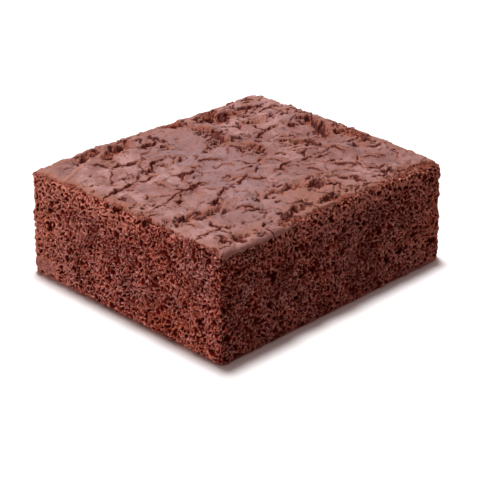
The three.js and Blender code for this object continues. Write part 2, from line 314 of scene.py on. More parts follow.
# Cracks where the photograph shows them, as a width and (x, y) along each.
CRACKS = [
    (1.08, [(-37.5, 6.4), (-34.6, 6.7), (-30.7, 8.5), (-27.9, 8.0), (-23.6, 9.0), (-18.6, 7.6)]),
    (0.81, [(-16.4, 4.9), (-15.0, 3.5), (-12.9, 3.0), (-10.7, 3.9)]),
    (1.08, [(-21.8, -1.1), (-20.4, -3.3), (-18.6, -3.6), (-16.4, -2.6), (-13.2, -2.9)]),
    (0.54, [(-33.6, -6.9), (-25.7, -4.7), (-20.7, -3.3)]),
    (0.81, [(-17.1, -11.5), (-15.4, -10.1), (-12.9, -9.1)]),
    (0.68, [(-10.7, -9.7), (-8.6, -9.0), (-5.7, -7.6), (-2.9, -6.5)]),
    (0.54, [(-2.9, -4.0), (0.0, -4.4), (1.1, -4.0)]),
    (0.54, [(-2.5, 1.9), (-2.1, -0.6)]),
    (0.68, [(-5.7, 7.1), (-3.6, 6.7), (-1.1, 4.6)]),
    (0.81, [(-19.3, 11.0), (-16.4, 12.4), (-15.0, 14.3), (-12.9, 14.9), (-9.6, 14.8)]),
    (0.47, [(-28.2, 12.8), (-25.7, 16.0), (-22.9, 18.9)]),
    (1.22, [(-22.9, 19.2), (-21.1, 18.9), (-19.3, 17.1), (-16.4, 18.1)]),
    (0.68, [(-25.7, 23.1), (-23.2, 22.4)]),
    (0.95, [(-11.4, 25.3), (-8.6, 24.6), (-5.7, 23.9), (-3.6, 24.6)]),
    (0.94, [(-5.7, 24.2), (-5.0, 26.3), (-3.2, 29.6)]),
    (0.81, [(-6.4, 21.7), (-4.3, 20.6)]),
    (0.54, [(-8.6, 11.0), (-6.1, 12.8)]),
    (0.47, [(1.4, 12.4), (4.3, 13.9)]),
    (0.68, [(5.7, 9.0), (6.2, 5.5), (5.4, 3.1)]),
    (0.54, [(5.7, -2.2), (4.3, -4.0)]),
    (0.74, [(1.4, -9.7), (4.3, -10.4), (7.1, -9.0), (10.0, -8.3)]),
    (0.68, [(10.4, -13.3), (10.9, -17.6)]),
    (0.88, [(15.7, -16.1), (17.1, -18.3), (18.6, -21.1)]),
    (0.61, [(19.3, -24.0), (22.1, -25.4), (25.0, -25.8)]),
    (0.54, [(24.6, -18.6), (26.4, -21.9)]),
    (0.54, [(26.4, -18.6), (28.2, -22.6)]),
    (0.47, [(32.0, -22.6), (33.9, -20.0)]),
    (0.81, [(24.3, -7.6), (24.0, -10.0), (24.6, -12.6)]),
    (1.08, [(26.1, 8.1), (28.6, 7.8)]),
    (1.08, [(36.4, 15.0), (38.0, 14.2)]),
    (1.08, [(11.4, 19.9), (10.6, 17.6)]),
    (0.68, [(28.6, 20.6), (31.0, 21.2), (33.6, 21.0)]),
    (0.81, [(30.4, 28.9), (32.1, 27.2)]),
    (0.68, [(-35.7, -23.3), (-32.1, -23.6), (-28.2, -24.0), (-27.5, -21.1)]),
    (0.81, [(-31.6, -16.6), (-30.7, -18.6)]),
    (0.81, [(-7.9, -2.9), (-7.1, -5.1)]),
    (1.08, [(3.6, -19.7), (4.4, -22.6), (5.7, -25.4)]),
    (0.54, [(-5.0, -25.4), (-5.2, -31.9)]),
    (0.68, [(12.9, -24.7), (13.2, -29.7)]),
    (0.94, [(-21.3, -29.5), (-19.4, -29.0)]),
]
CRACK_DEPTH = 1.15
CRACK_STRAY = [(0.28, 3.0, 28, 29), (0.1, 1.0, 38, 39)]
CRACK_BEADS = [(0.22, 1.6, 30)]  # how its width comes and goes
BEADS_RANGE = (0.5, 1.6)  # and within what shares
CRACK_NEARER = 0.5  # how much nearer to FRONT and LEFT it runs than its lifted edge
CRACK_ENDS = 0.3  # share of its width that is left at its ends
CRACK_EDGE = (0.8, 0.15)  # it sets in at this share of its half width, and this much further out
CRACK_FLOOR = 0.4  # share of its half width where it is at its full depth
CRACK_CURL = 0.42  # how far the crust curls up beside a crack, as a share of its width
CURL_WIDTH = 0.2  # and of this added to it
JOINT_CURL = 0.2  # what stands for those two at a joint between plates
CURL_REACH = 1.7  # distance from a crack within which it is curled up
HIGHLIGHT_REACH = 0.7  # how far past a crack's edge it takes painted highlight,
BROWN_REACH = 1.1  # and browned
BROWN_GROWTH = 1.6  # how brown it is for each millimetre of the crack's width, up to 1
LIFT_WAY = (0.7, 0.7)  # the side of a crack where it curls most
LIFT_SIDES = (-0.3, 0.5)  # from the side where it does least to the side where it does most
LIFT_LEAST = 0.3
SHORT_CRACKS = 90
SHORT_MARGIN = 2  # how far inside the outline their middles stay
SHORT_CALM = 0.2  # how common they are outside their busy area, against inside it
SHORT_BUSY_X, SHORT_BUSY_Y = (0, 10), (-14, -22)  # where that area begins, and is in full
SHORT_BEND = 0.15
SHORT_LENGTH = (2.5, 8.5)
SHORT_WIDTH = (0.1, 0.42)
SHORT_TURN = (-45, 40)  # the way they run, in degrees, and its spread
# The middle of a smooth, pale band across the crust, pale partly by painted sheen, and its half width.
CALM = [(-3.0, 28.0), (-3.0, 5.0), (-9.0, -8.0), (-16.0, -22.0), (-19.0, -31.0)]
CALM_REACH = 8.0
CALM_RIPPLES = [(1.5, 7.0, 43)]
CALM_FADE = 2.5
# Broad zones where the crust is paler or, below 0, darker: middle, reach, how much.
TONE_ZONES = [
    (0, 12, 13, -1.6), (-32, 27, 8, -1.0), (-10, -17, 7, 1.3), (-32, -22, 11, 1.1),
    (17, 16, 10, 1.4), (30, 26, 8, 2.6), (34, -5, 8, -3.0), (-4, -28, 8, -1.0),
    (20, -3, 9, 1.4), (2, 28, 9, -0.9), (-21, -27, 7, -1.8), (16, -16, 8, -1.2),
    (-25, 16, 10, 1.7), (12, -27, 7, 1.4),
]
# The same, where it is tan.
TAN_ZONES = [(-2, -27, 9, 1.5), (5, 28, 9, 0.9), (-21, -28, 5, 0.8)]
FOLD = [(-38.0, 19.6), (-35.7, 21.4), (-30.0, 23.9), (-24.6, 25.6), (-22.1, 28.9), (-19.3, 31.0)]
FOLD_RISE = 0.4  # height of the ridge along FOLD, where the crust is pushed up
FOLD_WIDTH = (0.9, 0.1)  # distances from it where the ridge sets in, and is at its height


def short_cracks():
    """Short curved cracks, strewn mostly along the RIGHT and FRONT of the crust."""
    rng = np.random.default_rng(seed=91)
    cracks = []
    while len(cracks) < SHORT_CRACKS:
        middle = (rng.random(2) - 0.5) * [WIDTH - 2 * SHORT_MARGIN, DEPTH - 2 * SHORT_MARGIN]
        busy = max(smooth_step(*SHORT_BUSY_X, middle[0]), smooth_step(*SHORT_BUSY_Y, middle[1]))
        if rng.random() > between(SHORT_CALM, 1, busy):
            continue
        length = rng.uniform(*SHORT_LENGTH)
        turn = np.radians(rng.normal(*SHORT_TURN))
        bend = rng.uniform(-SHORT_BEND, SHORT_BEND) * length
        run = np.linspace(-0.5, 0.5, 5) * length
        bow = bend * (1 - (2 * run / length) ** 2)
        x = middle[0] + run * np.cos(turn) - bow * np.sin(turn)
        y = middle[1] + run * np.sin(turn) + bow * np.cos(turn)
        cracks.append((rng.uniform(*SHORT_WIDTH), list(zip(x, y))))
    return cracks


def near_line(x, y, points):
    """Distance to a line through points, and how far along it the nearest place is, from 0 to 1.

    Also the side of it that a point lies on, from -1 to 1, as LIFT_WAY goes.
    """
    nearest = np.full_like(x, np.inf)
    place = np.zeros_like(x)
    side = np.zeros_like(x)
    for i, ((x0, y0), (x1, y1)) in enumerate(zip(points, points[1:])):
        dx, dy = x1 - x0, y1 - y0
        share = np.clip(((x - x0) * dx + (y - y0) * dy) / (dx * dx + dy * dy), 0, 1)
        off_x, off_y = x - x0 - share * dx, y - y0 - share * dy
        away = np.hypot(off_x, off_y)
        towards = (off_x * LIFT_WAY[0] + off_y * LIFT_WAY[1]) / np.maximum(away, 1e-9)
        side = np.where(away < nearest, towards, side)
        place = np.where(away < nearest, (i + share) / (len(points) - 1), place)
        nearest = np.minimum(nearest, away)
    return nearest, place, side


# -------- bare patches

# Places where the crust came away and the crumb shows: middle, half sizes and turn in degrees.
BARE_PATCHES = [
    (-14.5, 27.0, 5.0, 1.7, 24), (-19.0, 25.2, 3.0, 1.2, 40), (-21.5, 29.0, 2.6, 1.2, 10),
    (6.5, 30.0, 2.4, 2.8, 60), (8.6, 22.5, 5.5, 1.2, 98), (7.6, 13.5, 3.0, 0.9, 80),
    (9.4, 4.2, 2.8, 1.5, 80), (17.5, 28.5, 3.6, 2.2, 12), (21.5, 24.8, 4.4, 1.6, -6),
    (27.5, 25.5, 1.8, 0.9, -20), (20.5, 16.6, 3.4, 1.2, -4), (32.2, 5.2, 3.8, 1.8, 75),
    (30.2, 0.5, 3.6, 1.8, 62), (33.0, -5.0, 4.0, 1.6, 85), (20.8, -2.2, 3.2, 1.0, -72),
    (-3.4, -19.2, 4.6, 1.7, -8), (1.8, -22.0, 3.0, 1.5, -40), (6.4, -24.4, 1.8, 1.0, -60),
    (-31.5, -15.0, 2.4, 1.0, 0), (-25.0, -15.4, 3.4, 1.0, -4), (-28.8, -29.8, 3.0, 0.9, -4),
    (31.8, -12.6, 1.6, 0.8, 10), (26.5, -30.8, 3.0, 1.1, -8), (-14.5, -30.5, 3.2, 1.0, 35),
    (38.0, 14.5, 1.4, 1.0, 0), (-9.5, -28.5, 2.6, 1.0, 20), (0.5, -30.0, 3.2, 1.0, -10),
    (33.0, -8.5, 2.4, 1.2, 80),
]
PATCH_DEPTH = 0.7
HOLED_REACH = (3.2, -0.5)  # how far off a patch the crust begins to be holed, and is fully so
HOLE_CELLS = 1.7  # pitch of the places where a hole may be
HOLE_STRAY = [(0.4, 1.7, 45, 46)]
HOLES_NEAR = 0.45  # share of them that are holes, in a patch
HOLES_FAR = 0.006  # and far from one
HOLE_DEPTH = 1.2
HOLE_SLOPE = 0.28  # width of the slope inside its edge
HOLE_DOUBT = (0.06, -0.06)  # a draw this close to the share of holes gives a shallower one
RAGGED = [(0.6, 2.6, 31), (0.4, 1.1, 32)]  # how torn edges wander
PATCH_RAGGED = 0.42  # by what share of its size a patch's outline does so
RIM_RAGGED = 0.4  # and by how much the crust's broken edge along the rim
TEARS = [(1.0, 3.4, 33), (0.5, 1.2, 34)]  # ripples that tear the crust elsewhere
TEAR_LEVEL = 2.5  # where they rise above this
TEAR_SLOPE = 2.0
BARE_EDGE = (0.12, -0.18)  # across the edge of a patch, from whole crust to bare crumb
BRINK = (2.2, 0.2)  # distances from the edge where its brink begins, and is full
# share of painted highlight on the brink of a bare patch
BRINK_HIGHLIGHT = 0.5


def bare_share(x, y, cell, from_stop):
    """Where the crust has come away, the brink of such places, and how thickly it is holed there.

    from_stop is how far each point lies in from where the crust stops at the rim.
    """
    ragged = ripples(x.shape, cell, RAGGED)
    away = np.full_like(x, np.inf)
    for middle_x, middle_y, long, wide, turn in BARE_PATCHES:
        angle = np.radians(turn)
        along = (x - middle_x) * np.cos(angle) + (y - middle_y) * np.sin(angle)
        across = (y - middle_y) * np.cos(angle) - (x - middle_x) * np.sin(angle)
        reach = np.hypot(along / long, across / wide) - 1 + PATCH_RAGGED * ragged
        away = np.minimum(away, reach * wide)
    holed = smooth_step(*HOLED_REACH, away)
    away = np.minimum(away, from_stop + RIM_RAGGED * ragged)
    away = np.minimum(away, TEAR_SLOPE * (TEAR_LEVEL - ripples(x.shape, cell, TEARS)))
    return smooth_step(*BARE_EDGE, away), smooth_step(*BRINK, away), holed


def torn_holes(x, y, cell, holed):
    """1 in the small holes that lie in and about the bare patches."""
    edge, _, _, number = plates(*bent(x, y, cell, HOLE_STRAY), HOLE_CELLS, seed=47)
    draw = (plate_draws(number, seed=48, count=1)[0] + 1) / 2
    share = between(HOLES_FAR, HOLES_NEAR, holed)
    return smooth_step(0.0, HOLE_SLOPE, edge) * smooth_step(*HOLE_DOUBT, draw - share)


# -------- crumb

FOAM_CELLS = 1.2  # pitch of the crumb's pores
FINE_CELLS = 0.72  # and of the finer ones in its walls
FOAM_DEPTH = (0.3, 0.72)  # least and greatest depth of a pore, as a share of that
FOAM_WALL = (0.08, 0.34)  # half the thickness of a wall, and where the pore is deepest, likewise
PORE_STRAY = [(0.12, 1.2, 51, 53), (0.3, 6.0, 52, 54)]
PORE_ROUGH = [(0.05, 0.6, 60), (0.025, 3.0, 61)]
COARSE_PORES = 0.035  # larger pores on each square millimetre
COARSE_SIZES = (0.45, 0.9)  # and their least and greatest radius
TORN_CELLS = 2.3  # pitch of the pores in torn crumb
TORN_SHARE = 0.65  # share of their depth that is left
TORN_STRAY = [(0.3, 1.8, 72, 73)]
TORN_ROUGH = [(0.05, 0.8, 78)]


def stamp_pores(x, y, centres, radii):
    """How deep round pores cut into a surface laid out on x and y; centres are points of its grid."""
    depth = np.zeros_like(x)
    step = min(abs(x[0, 1] - x[0, 0]), abs(y[1, 0] - y[0, 0]))
    for (row, column), radius in zip(centres, radii):
        reach = int(np.ceil(1.5 * radius / step)) + 1
        window = np.s_[max(row - reach, 0) : row + reach + 1, max(column - reach, 0) : column + reach + 1]
        away = (x[window] - x[row, column]) ** 2 + (y[window] - y[row, column]) ** 2
        depth[window] = np.maximum(depth[window], np.sqrt(np.clip(radius**2 - away, 0, None)))
    return depth


def coarse_pores(x, y, cell, keep, seed):
    """Depth of randomly placed pores, small ones the commonest."""
    rng = np.random.default_rng(seed)
    rows, columns = x.shape
    count = int(COARSE_PORES * rows * columns * cell * cell)
    centres = np.stack([rng.integers(0, rows, count), rng.integers(0, columns, count)], axis=1)
    radii = between(*COARSE_SIZES, rng.random(count) ** 2)
    kept = rng.random(count) < keep[centres[:, 0], centres[:, 1]]
    return stamp_pores(x, y, centres[kept], radii[kept])


def foam(x, y, size, seed):
    """Depth of pores that lie side by side with walls between them, some deeper than others."""
    edge, _, _, number = plates(x, y, size, seed)
    draw = (plate_draws(number, seed + 1, count=1)[0] + 1) / 2
    return size * between(*FOAM_DEPTH, draw) * smooth_step(*FOAM_WALL, edge / size)


def torn_depth(x, y, cell):
    """How far crumb bared by torn crust is sunk: coarser than cut crumb."""
    bent_x, bent_y = bent(x, y, cell, TORN_STRAY)
    coarse = foam(bent_x, bent_y, TORN_CELLS, seed=74)
    fine = foam(bent_y, bent_x, FOAM_CELLS, seed=76)
    return np.maximum(TORN_SHARE * coarse, fine) + ripples(x.shape, cell, TORN_ROUGH)


def crumb_depth(x, y, cell, keep):
    """How far cut crumb is sunk; keep is the share of the larger pores that is there, from 0 to 1."""
    bent_x, bent_y = bent(x, y, cell, PORE_STRAY)
    coarse = coarse_pores(bent_x, bent_y, cell, keep, seed=55)
    pores = foam(bent_x, bent_y, FOAM_CELLS, seed=56) * keep
    fine = foam(bent_y, bent_x, FINE_CELLS, seed=58)
    return np.maximum.reduce([coarse, pores, fine]) - ripples(x.shape, cell, PORE_ROUGH)


# -------- meshes


def grid_faces(rows, columns):
    """Four-sided faces of a grid of points numbered row by row."""
    row, column = np.meshgrid(np.arange(rows - 1), np.arange(columns - 1), indexing="ij")
    first = row * columns + column
    corners = [first, first + 1, first + columns + 1, first + columns]
    return np.stack(corners, axis=-1).reshape(-1, 4)


def fan_faces(line, hub, flip):
    """Three-sided faces from a line of points to one away from it."""
    fan = np.stack([line[:-1], line[1:], np.full(len(line) - 1, hub)], axis=1)
    return fan[:, ::-1] if flip else fan


def add_piece(name, points, quads, fans, quad_uv, fan_uv, layers, material):
    """Makes a mesh piece that rides on the slab's body; layers are named numbers at each point."""
    mesh = bpy.data.meshes.new(name)
    mesh.from_pydata((points * MM).tolist(), [], quads.tolist() + fans.tolist())
    uv = mesh.uv_layers.new(name="OFBake")
    flat_uv = np.concatenate([quad_uv.reshape(-1), fan_uv.reshape(-1)])
    uv.data.foreach_set("uv", flat_uv.astype(np.float32))
    for layer, values in layers.items():
        attribute = mesh.attributes.new(layer, "FLOAT", "POINT")
        attribute.data.foreach_set("value", values.astype(np.float32))
    mesh.materials.append(material)
    mesh.shade_smooth()
    piece = bpy.data.objects.new(name, mesh)
    bpy.context.scene.collection.objects.link(piece)
    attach(piece, "root")
    return piece


# -------- crumb piece

SHOULDER = CRUST_EDGE - CRUST_THICK  # radius of the crumb's upper edge
FOOT_ROWS = 5  # of points round the foot
SHOULDER_ROWS = 7  # and round the upper edge
UNDER_CRUST = 4.6  # how far the crumb runs in under the crust before it is closed off
UNDER_STEP = 0.55  # mesh spacing there
UNDER_FROM = (CRUST_EDGE + 0.2, CRUST_EDGE + 1.0)  # from how far in it follows the crust, and wholly so
UNDER_DIVE = 4.2  # how far it goes down there, to stay clear of bare patches
DIVE_FROM = (UNDER_CRUST - 1.5, UNDER_CRUST + 0.8)
CAP_DROP = 0.5  # how much lower the middle of the hidden cap lies
UNDER_RELIEF = 0.3  # share of the pores' depth that is left there
DENSE_FOOT = 1.4  # height over which the crumb is pressed together above the foot
DENSE_PORES = 0.4  # share of its larger pores that is left at the foot
FLAT_FOOT = 0.7  # height up to which the relief fades out
LUMPS = [(0.15, 2.6, 61), (0.11, 7.0, 62)]
TAN_DROP = (8.0, 2.0)  # how far down from the crust the crumb begins to be tan, and is fully so
CORNER_TAN_AND_LIGHT = {(-1, -1): 0.0, (-1, 1): 0.75, (1, -1): 0.35, (1, 1): 0.2}  # how tan the upright edges are, partly painted light, most at the back LEFT one
CORNER_TAN_AND_LIGHT_FROM = (0.35, 0.95)
UPTURN_SHADE_TURN = (0.4, 1.2)  # angles over its upper edge where the crumb begins to take painted shade, and is fully so


def crumb_profile(top):
    """(inset, height) up the crumb's side, from the underside to its end under the crust."""
    foot = np.linspace(0, np.pi / 2, FOOT_ROWS)
    side_rows = int((CRUST_TOP - FOOT_EDGE - CRUST_EDGE) / SIDE_CELL)
    side = np.linspace(0, 1, side_rows + 1)[1:-1, None]
    over = np.linspace(0, np.pi / 2, SHOULDER_ROWS)
    inward = np.arange(1, int(UNDER_CRUST / UNDER_STEP) + 1) * UNDER_STEP
    shoulder = top - CRUST_THICK - SHOULDER

    insets = [
        FOOT_EDGE * (1 - np.sin(foot)),
        CRUST_THICK * side[:, 0],
        CRUST_THICK + SHOULDER * (1 - np.cos(over)),
        CRUST_EDGE + inward,
    ]
    heights = [
        np.repeat(FOOT_EDGE * (1 - np.cos(foot))[:, None], top.size, axis=1),
        FOOT_EDGE + (shoulder - FOOT_EDGE) * side,
        shoulder + SHOULDER * np.sin(over)[:, None],
        np.repeat(shoulder + SHOULDER, len(inward), axis=0),
    ]
    return np.repeat(np.concatenate(insets)[:, None], top.size, axis=1), np.concatenate(heights)


def outline_square():
    """Points round a square's rim, LEFT first and then FRONT, and how many lie on those two."""
    across = int(WIDTH / SIDE_CELL)
    along = int(DEPTH / SIDE_CELL)
    x = np.linspace(-1, 1, across + 1)[:-1]
    y = np.linspace(-1, 1, along + 1)[:-1]
    u = np.concatenate([-np.ones(along), x, np.ones(along), -x])
    v = np.concatenate([-y, -np.ones(across), y, np.ones(across)])
    return u, v, along + across


# Large holes that show on the two sides towards the camera: x or y, height, radius.
LARGE_HOLES = {
    "FRONT": [
        (14.3, 15.7, 0.9), (-20.0, 25.0, 0.7), (-22.0, 15.4, 1.0), (22.0, 7.4, 1.0),
        (-27.0, 7.5, 0.8),
    ],
    "LEFT": [
        (17.0, 5.6, 0.9), (4.5, 8.5, 0.9), (-9.0, 4.2, 0.8), (-26.5, 8.0, 0.9),
        (-6.0, 25.5, 0.8), (2.0, 26.2, 0.9), (3.7, 26.6, 0.8), (0.2, 26.3, 0.9),
        (-1.9, 26.1, 0.7), (-7.6, 26.8, 1.0), (-10.4, 26.7, 1.0),
    ],
}
HOLE_EDGE_STRAY = [(0.25, 1.1, 80, 81)]  # how their outlines wander
# Oval zones of a side: side, x or y, height, half sizes.
RUST_ZONES = [
    ("LEFT", -20.0, 3.0, 20.0, 7.0),
    ("LEFT", 32.0, 14.0, 7.0, 12.0),
    ("FRONT", 35.0, 9.0, 7.0, 15.0),
]
RUST_EDGE = (1.0, 0.3)
SMEAR = ("LEFT", 28.5, 3.2, 4.8, 2.2)  # where the knife pressed the crumb smooth
SMEAR_EDGE = (1.25, 0.6)
SMEAR_CLOSED = 0.85  # share of the larger pores that it closed
SMEAR_FLAT = 0.8  # and share of the relief that it took away


def oval_reach(side, along, middle, half_length, half_height, distance, height):
    """How far out in an oval zone of a side points lie: 0 in its middle and 1 on its outline."""
    return np.hypot(round_from(side, along, distance) / half_length, (height - middle) / half_height)


def large_holes(columns, rows, distance, height):
    """Depth of the large holes, for the crumb's side laid out flat on columns and rows."""
    bent_along, bent_up = bent(columns, rows, SIDE_CELL, HOLE_EDGE_STRAY)
    depth = np.zeros_like(height)
    for side, holes in LARGE_HOLES.items():
        for along, middle_height, radius in holes:
            away = oval_reach(side, along, middle_height, 1.0, 1.0, distance, height)
            middle = np.unravel_index(np.argmin(away), height.shape)
            depth = np.maximum(depth, stamp_pores(bent_along, bent_up, [middle], [radius]))
    return depth


def crumb_relief(points, distance, under):
    """How far the crumb is sunk below its smooth form, the depth of its pores, and the smear."""
    height = points[..., 2]
    smear = smooth_step(*SMEAR_EDGE, oval_reach(*SMEAR, distance, height))
    open_crumb = between(DENSE_PORES, 1, smooth_step(0.0, DENSE_FOOT, height))
    rows, columns = np.meshgrid(*(np.arange(count) * SIDE_CELL for count in height.shape), indexing="ij")
    pores = crumb_depth(columns, rows, SIDE_CELL, open_crumb * (1 - SMEAR_CLOSED * smear))
    depth = np.maximum(pores, large_holes(columns, rows, distance, height))
    sunk = depth * (1 - SMEAR_FLAT * smear) * between(1, UNDER_RELIEF, under)
    sunk += ripples(height.shape, SIDE_CELL, LUMPS) * (1 - under)
    on_side = smooth_step(0.0, FLAT_FOOT, height)
    return np.maximum(on_side * sunk, -SKIN_ROOM), depth * on_side, smear


def crumb_tan_and_light(u, v, height):
    """How tan the crumb is, partly painted light: more so close under the crust and towards the upright
    edges.
    """
    under_crust = smooth_step(*TAN_DROP, CRUST_TOP - height) * tan_and_light_share(around(u, v))
    at_corner = smooth_step(*CORNER_TAN_AND_LIGHT_FROM, np.abs(u * v)) * by_corner(CORNER_TAN_AND_LIGHT, u, v)
    return np.maximum(under_crust, at_corner)


def crumb_rust(distance, height):
    """1 in the middle of the rusty zones."""
    zones = [smooth_step(*RUST_EDGE, oval_reach(*zone, distance, height)) for zone in RUST_ZONES]
    return np.maximum.reduce(zones)


def crumb_surface():
    """Points of the crumb's side in a grid, row by row from the foot up, and its layers."""
    u, v, _ = outline_square()
    edge_x, edge_y, _, _ = plan_point(u, v, np.zeros_like(u))
    edge_top = crust_height(edge_x, edge_y)[None, :]
    inset, height = crumb_profile(edge_top)
    u, v = np.broadcast_to(u, inset.shape), np.broadcast_to(v, inset.shape)
    lean = SIDE_LEAN * height / CRUST_TOP
    x, y, out_x, out_y = plan_point(u, v, inset + lean)
    under = smooth_step(*UNDER_FROM, inset)
    height = height + under * (crust_height(x, y) - edge_top)
    height = height - UNDER_DIVE * smooth_step(*DIVE_FROM, inset)
    points = np.stack([x, y, height], axis=-1)
    sunk, depth, smear = crumb_relief(points, around(u, v), under)

    # The relief goes in level on the side and down on the part under the crust.
    turn = np.clip((inset - CRUST_THICK) / SHOULDER, 0, 1) * np.pi / 2
    is_upper = height > CRUST_TOP / 2
    level = sunk * np.where(is_upper, np.cos(turn), 1.0)
    down = sunk * np.where(is_upper, np.sin(turn), 0.0)
    points -= np.stack([out_x * level, out_y * level, down], axis=-1)
    layers = {
        "depth": depth,
        "smear": smear,
        "upturn_shade": smooth_step(*UPTURN_SHADE_TURN, turn),
        "tan_and_light": crumb_tan_and_light(u, v, height),
        "rust": crumb_rust(around(u, v), height),
    }
    return points, layers


def crumb_pieces(material):
    """The body of the slab with its underside, in two halves that meet at opposite corners."""
    points, layers = crumb_surface()
    half = outline_square()[2]
    columns = np.arange(points.shape[1] + 1) % points.shape[1]
    return [
        crumb_half("crumb_left_front", points, layers, columns[: half + 1], material),
        crumb_half("crumb_right_back", points, layers, columns[half:], material),
    ]


def crumb_half(name, points, layers, columns, material):
    """Half of the crumb, closed off below and under the crust by fans to a point in the middle."""
    grid = points[:, columns]
    rows, count = grid.shape[:2]
    hubs = [[0, 0, 0], [0, 0, CRUST_TOP - CRUST_THICK - UNDER_DIVE - CAP_DROP]]
    flat = np.concatenate([grid.reshape(-1, 3), hubs])
    quads = grid_faces(rows, count)
    below = fan_faces(np.arange(count), rows * count, True)
    above = fan_faces((rows - 1) * count + np.arange(count), rows * count + 1, False)
    fans = np.concatenate([below, above])
    quad_uv, fan_uv = crumb_uv(flat, quads, fans, count)
    flat_layers = {}
    for layer, values in layers.items():
        flat_layers[layer] = np.append(values[:, columns].reshape(-1), [0, 0])
    return add_piece(name, flat, quads, fans, quad_uv, fan_uv, flat_layers, material)


# The crumb's UV layout, in millimetres of surface.
UV_SPAN = 150.0  # across the whole UV square
UV_MARGIN = 1.0
STRIP_PITCH = 40.0  # from one strip of the side up to the other
UNDERSIDE_AT = (40.0, 115.0)
CAP_AT = (110.0, 115.0)
FAN_SCALE = 0.9  # of the underside and the hidden cap


def crumb_uv(flat, quads, fans, count):
    """Lays the side out as one strip, cut in two, with the underside and the hidden cap above them."""
    row, column = np.divmod(quads, count)
    is_second = (column.min(axis=1) >= count // 2)[:, None]
    across = (column - np.where(is_second, count // 2, 0)) * SIDE_CELL
    up = row * SIDE_CELL + np.where(is_second, STRIP_PITCH, 0)
    quad_uv = (np.stack([across, up], axis=-1) + UV_MARGIN) / UV_SPAN

    is_cap = fans.max(axis=1) == len(flat) - 1
    shift = np.where(is_cap[:, None, None], CAP_AT, UNDERSIDE_AT)
    return quad_uv, (flat[fans][..., :2] * FAN_SCALE + shift) / UV_SPAN


# -------- crust piece

TAN_WIDTH = (6.5, 0.5)  # how far in from the rim the crust begins to be tan, and is fully so
PALE_RIM = (3.5, 1.0)  # the same for where it isn't browned, unless it is tan
LIP_BROWN = (0.2, 1.0)  # shares of its rounded edge over which it turns brown
RIM_RELIEF = 0.5  # share of the crust's relief that is left at the rim
RIM_REACH = 7.0  # and how far in it is all there
RELIEF_DROP = (1.3, 0.4)  # shares of the rounded edge's drop between which the relief sets in
RIM_SKIN = [(0.05, 2.0, 41), (0.03, 0.9, 42)]
LIP_UNDER = 0.8  # how far the crust's underside runs in behind its lip
LIP_RUN = 1.3  # length of mesh that makes the lip's face
CRUST_HUB = 6.0  # height of the hidden point that closes the crust off, well below its bare patches
CRUST_ARC = CRUST_EDGE * np.pi / 2
UV_HALF = 0.47  # half the side of the crust's UV square, whose middle is that of the whole
FAN_UV = 0.02  # scale of the hidden fan, which lies in a corner of the whole
FAN_MARGIN = 0.001


def crust_profile(travel, lip):
    """(inset, drop) at a distance, travel, along the crust from its hidden edge."""
    under = np.clip(travel / LIP_UNDER, 0, 1)
    rise = np.clip((travel - LIP_UNDER) / LIP_RUN, 0, 1)
    turn = np.clip((travel - LIP_UNDER - LIP_RUN) / CRUST_ARC, 0, 1) * np.pi / 2
    flat = np.clip(travel - LIP_UNDER - LIP_RUN - CRUST_ARC, 0, None)
    inset = LIP_UNDER * (1 - under) + CRUST_EDGE * (1 - np.cos(turn)) + flat
    drop = CRUST_EDGE * (1 - np.sin(turn)) + lip * (1 - rise)
    return inset, drop


def crust_cracks(x, y, cell, gape, edge):
    """Depth, curl, painted highlight and brown of the cracks; edge is the distance to the plates' joints.
    """
    crack = gape * smooth_step(between(*JOINT_WIDTH, gape), JOINT_FLOOR, edge)
    curl = JOINT_CURL * CRACK_CURL * gape * smooth_step(*JOINT_CURLED, edge)
    light = gape * smooth_step(*JOINT_HIGHLIGHT, edge)
    brown = gape * smooth_step(*JOINT_BROWN, edge)
    beads = np.clip(1 + ripples(x.shape, cell, CRACK_BEADS), *BEADS_RANGE)
    bent_x, bent_y = bent(x, y, cell, CRACK_STRAY)
    for width, points in CRACKS + short_cracks():
        away, along, side = near_line(bent_x + CRACK_NEARER, bent_y + CRACK_NEARER, points)
        taper = between(CRACK_ENDS, 1, np.sqrt(np.clip(4 * along * (1 - along), 0, 1)))
        half_width = 0.5 * width * taper * beads
        sets_in = CRACK_EDGE[0] * half_width + CRACK_EDGE[1]
        crack = np.maximum(crack, taper * smooth_step(sets_in, CRACK_FLOOR * half_width, away))
        lifted = smooth_step(*LIFT_SIDES, side)
        lift = CRACK_CURL * taper * (width + CURL_WIDTH) * between(LIFT_LEAST, 1, lifted)
        curl = np.maximum(curl, lift * smooth_step(CURL_REACH, half_width, away))
        light = np.maximum(light, lifted * smooth_step(half_width + HIGHLIGHT_REACH, half_width, away))
        full_brown = min(1.0, BROWN_GROWTH * width)
        browned = full_brown * smooth_step(half_width + BROWN_REACH, half_width, away)
        brown = np.maximum(brown, browned)
    return crack, curl, light, brown


def zone_sum(zones, x, y):
    """Adds up broad zones, each fading away from its middle."""
    total = np.zeros_like(x)
    for middle_x, middle_y, reach, strength in zones:
        total += strength * np.exp(-((x - middle_x) ** 2 + (y - middle_y) ** 2) / reach**2)
    return total


